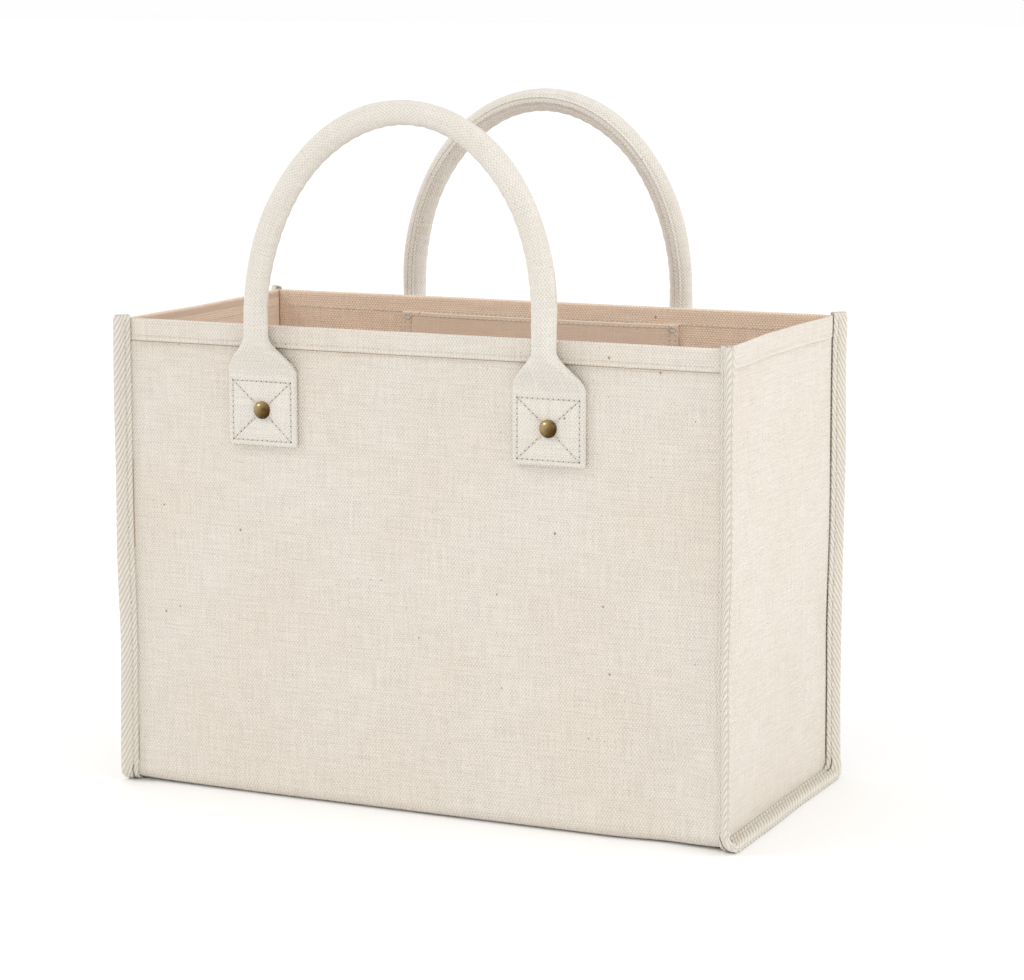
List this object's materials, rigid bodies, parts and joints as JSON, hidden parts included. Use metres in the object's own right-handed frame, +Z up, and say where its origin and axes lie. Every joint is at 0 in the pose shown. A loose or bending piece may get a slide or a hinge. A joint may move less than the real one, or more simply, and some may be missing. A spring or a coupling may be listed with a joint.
{
  "type": "canvas tote bag",
  "caption": "Boxy open-topped cotton canvas tote with bound outside seams, a slip pocket inside and padded tube handles riveted to both faces.",
  "frame": {"origin": "on the floor, under the middle of the bag", "axes": "+X to the bag's right as its front is faced, +Y from the front to the back, +Z up to the rim and the handles"},
  "size_m": [0.3766, 0.2064, 0.3923],
  "materials": {
    "canvas": "heavy natural cotton canvas, matt, with a pebbly weave and cotton-seed flecks",
    "binding_tape": "cream herringbone twill tape",
    "pocket_canvas": "natural cotton canvas, a little lighter in weight",
    "handle_canvas": "coarse pebbly cotton canvas",
    "rope_core": "twisted cotton rope",
    "rivet_brass": "antique brass, worn bright on the dome"
  },
  "bodies": {
    "root": {"body_panel": "canvas", "left_gusset": "canvas", "right_gusset": "canvas", "left_binding": "binding_tape", "right_binding": "binding_tape", "inner_pocket": "pocket_canvas", "front_left_tab": "handle_canvas", "front_left_rivet_cap": "rivet_brass", "front_left_rivet_back": "rivet_brass", "front_right_tab": "handle_canvas", "front_right_rivet_cap": "rivet_brass", "front_right_rivet_back": "rivet_brass", "back_left_tab": "handle_canvas", "back_left_rivet_cap": "rivet_brass", "back_left_rivet_back": "rivet_brass", "back_right_tab": "handle_canvas", "back_right_rivet_cap": "rivet_brass", "back_right_rivet_back": "rivet_brass"},
    "front_handle_neck": {"front_left_neck": "handle_canvas", "front_right_neck": "handle_canvas"},
    "front_handle_grip": {"front_grip_cover": "handle_canvas", "front_grip_core": "rope_core"},
    "back_handle_neck": {"back_left_neck": "handle_canvas", "back_right_neck": "handle_canvas"},
    "back_handle_grip": {"back_grip_cover": "handle_canvas", "back_grip_core": "rope_core"}
  },
  "joints": [
    {"name": "front_handle_fold", "type": "hinge", "parent": "root", "child": "front_handle_neck", "pos_m": [-0.0055, -0.0911, 0.238], "axis": [1, 0, 0], "range_deg": [0, 135]},
    {"name": "front_handle_lean", "type": "hinge", "parent": "front_handle_neck", "child": "front_handle_grip", "pos_m": [-0.0055, -0.0964, 0.273], "axis": [1, 0, 0], "range_deg": [-50, 35]},
    {"name": "back_handle_fold", "type": "hinge", "parent": "root", "child": "back_handle_neck", "pos_m": [-0.0035, 0.0911, 0.238], "axis": [-1, 0, 0], "range_deg": [0, 135]},
    {"name": "back_handle_lean", "type": "hinge", "parent": "back_handle_neck", "child": "back_handle_grip", "pos_m": [-0.0035, 0.0964, 0.273], "axis": [-1, 0, 0], "range_deg": [-50, 35]}
  ]
}
